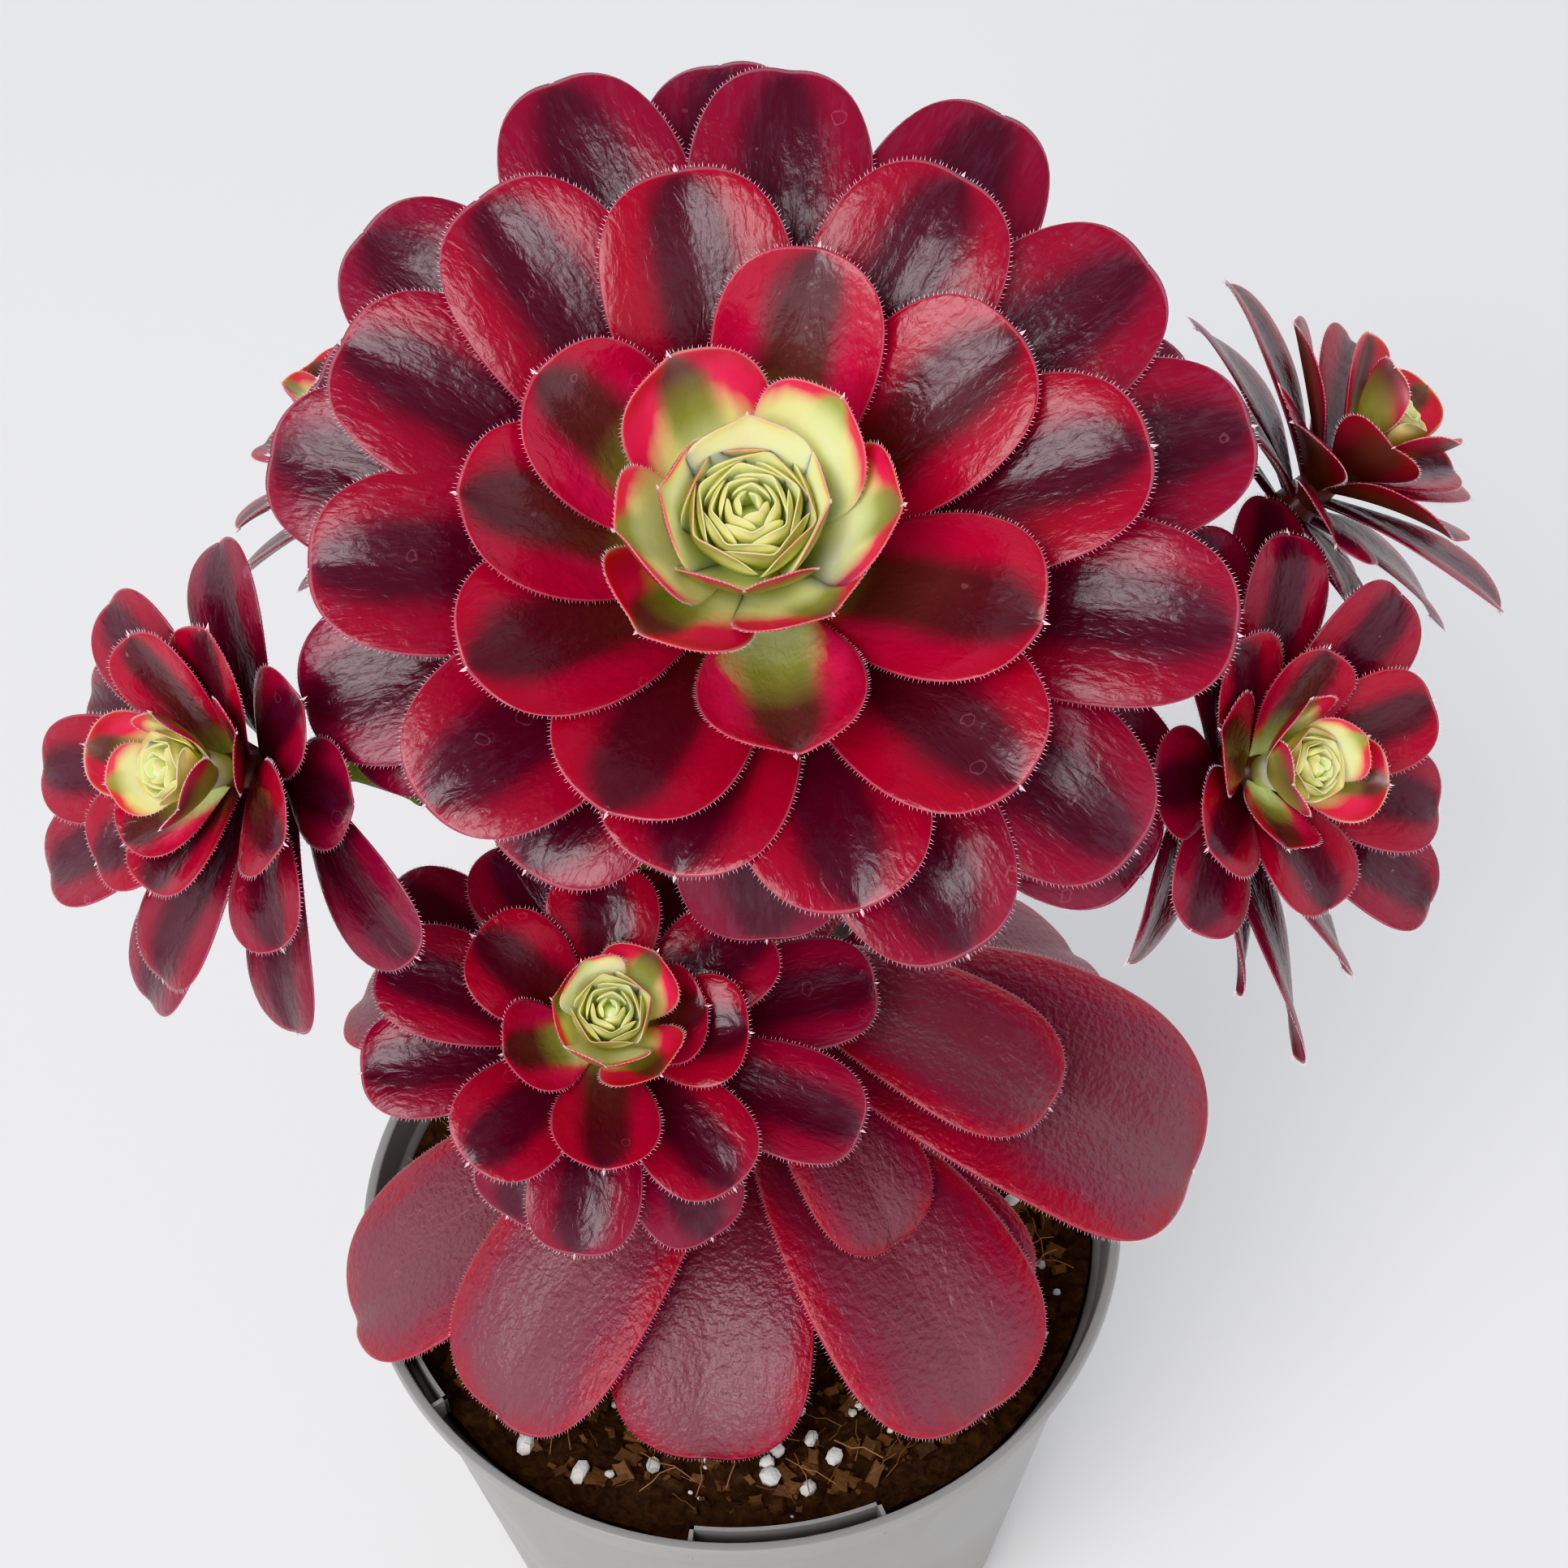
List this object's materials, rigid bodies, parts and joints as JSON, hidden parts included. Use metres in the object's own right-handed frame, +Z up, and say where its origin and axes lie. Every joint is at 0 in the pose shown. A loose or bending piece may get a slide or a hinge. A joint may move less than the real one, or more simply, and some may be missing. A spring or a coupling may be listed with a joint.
{
  "type": "potted aeonium",
  "caption": "Branched succulent with spoon-leaved crimson rosettes round yellow-green hearts, standing in a tapered grey nursery pot of soil.",
  "frame": {"origin": "middle of the underside of the pot, on the surface that it stands on", "axes": "+Z up through the pot, -Y towards the front of the plant, +X to the right seen from the front"},
  "size_m": [0.2806, 0.195, 0.3717],
  "materials": {
    "pot_plastic": "satin grey moulded plastic",
    "potting_soil": "damp dark compost with perlite",
    "bark": "olive green stem with pale leaf scars",
    "heart_leaf": "waxy yellow-green young leaf with pink edge",
    "crimson_leaf": "glossy crimson to near-black leaf with fine pale hairs on the edge",
    "old_leaf": "satin mauve-red old leaf"
  },
  "bodies": {
    "root": {"pot": "pot_plastic", "soil": "potting_soil", "trunk": "bark", "main_heart": "heart_leaf", "main_leaves": "crimson_leaf", "front_heart": "heart_leaf", "front_leaves": "crimson_leaf", "left_heart": "heart_leaf", "left_leaves": "crimson_leaf", "right_heart": "heart_leaf", "right_leaves": "crimson_leaf", "back_right_heart": "heart_leaf", "back_right_leaves": "crimson_leaf", "back_left_heart": "heart_leaf", "back_left_leaves": "crimson_leaf", "lower_leaf_1": "old_leaf", "lower_leaf_2": "old_leaf", "lower_leaf_3": "old_leaf", "lower_leaf_4": "old_leaf", "lower_leaf_5": "old_leaf", "lower_leaf_6": "old_leaf", "lower_leaf_7": "old_leaf", "lower_leaf_8": "old_leaf", "lower_leaf_9": "old_leaf", "lower_leaf_10": "old_leaf", "lower_leaf_11": "old_leaf", "lower_leaf_12": "old_leaf"}
  },
  "joints": []
}
